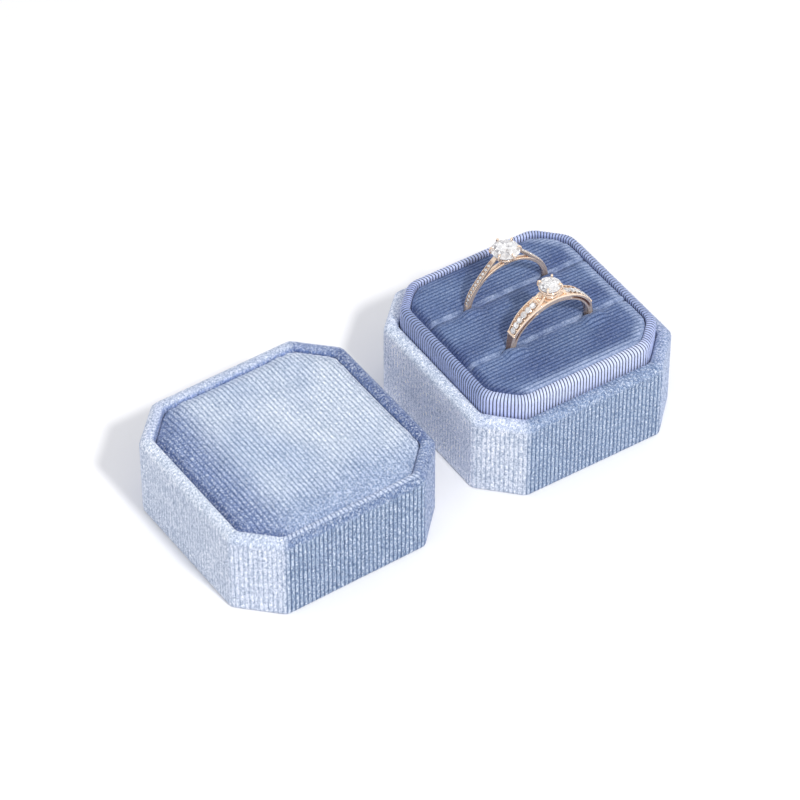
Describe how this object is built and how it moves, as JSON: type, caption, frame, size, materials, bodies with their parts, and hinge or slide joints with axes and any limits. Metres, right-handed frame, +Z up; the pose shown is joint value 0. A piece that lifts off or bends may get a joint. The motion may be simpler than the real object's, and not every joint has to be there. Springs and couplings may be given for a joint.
{
  "type": "ring box",
  "caption": "Octagonal ribbed-velvet ring box with a lift-off lid beside it, a ribbon collar and padded slots that hold a solitaire ring and a channel-set ring.",
  "frame": {"origin": "centre of the base's underside, on the surface it stands on", "axes": "+X along the ring slots, away from the lid; -Y out of the base's front wall; +Z up"},
  "size_m": [0.1101, 0.0516, 0.0374],
  "materials": {
    "velvet": "short-pile ribbed velvet, pale blue-grey, with a silvery sheen",
    "pad_velvet": "short-pile ribbed velvet, mid blue",
    "grosgrain": "ribbed ribbon, periwinkle blue, slight sheen",
    "lining": "smooth woven lining, blue",
    "greyboard": "uncoated grey paper board",
    "paper": "flocked paper, blue",
    "foam": "open-cell foam, white",
    "rose_gold": "polished rose gold",
    "clear_stone": "faceted clear stone"
  },
  "bodies": {
    "base": {"base_velvet_cover": "velvet", "base_wall_board": "greyboard", "base_floor_board": "greyboard", "base_underside_paper": "paper", "collar_board": "greyboard", "collar_ribbon": "grosgrain", "insert_tray_card": "greyboard", "pad_foam_back": "foam", "pad_velvet_back": "pad_velvet", "pad_foam_middle": "foam", "pad_velvet_middle": "pad_velvet", "pad_foam_front": "foam", "pad_velvet_front": "pad_velvet"},
    "lid": {"lid_velvet_cover": "velvet", "lid_wall_board": "greyboard", "lid_top_board": "greyboard", "lid_ceiling_velvet": "velvet", "lid_wall_lining": "lining", "lid_top_pad_foam": "foam", "lid_top_pad_velvet": "velvet"},
    "solitaire_ring": {"solitaire_shank": "rose_gold", "solitaire_setting": "rose_gold", "solitaire_main_stone": "clear_stone", "solitaire_side_stones": "clear_stone"},
    "channel_ring": {"channel_shank": "rose_gold", "channel_setting": "rose_gold", "channel_main_stone": "clear_stone", "channel_side_stones": "clear_stone"}
  },
  "joints": [
    {"name": "lid_lift", "type": "slide", "parent": "base", "child": "lid", "axis": [0, 0, 1], "range_m": [0, 0.06]},
    {"name": "solitaire_ring_lift", "type": "slide", "parent": "base", "child": "solitaire_ring", "axis": [0, 0, 1], "range_m": [-0.004, 0.03]},
    {"name": "channel_ring_lift", "type": "slide", "parent": "base", "child": "channel_ring", "axis": [0, 0, 1], "range_m": [-0.004, 0.03]}
  ]
}
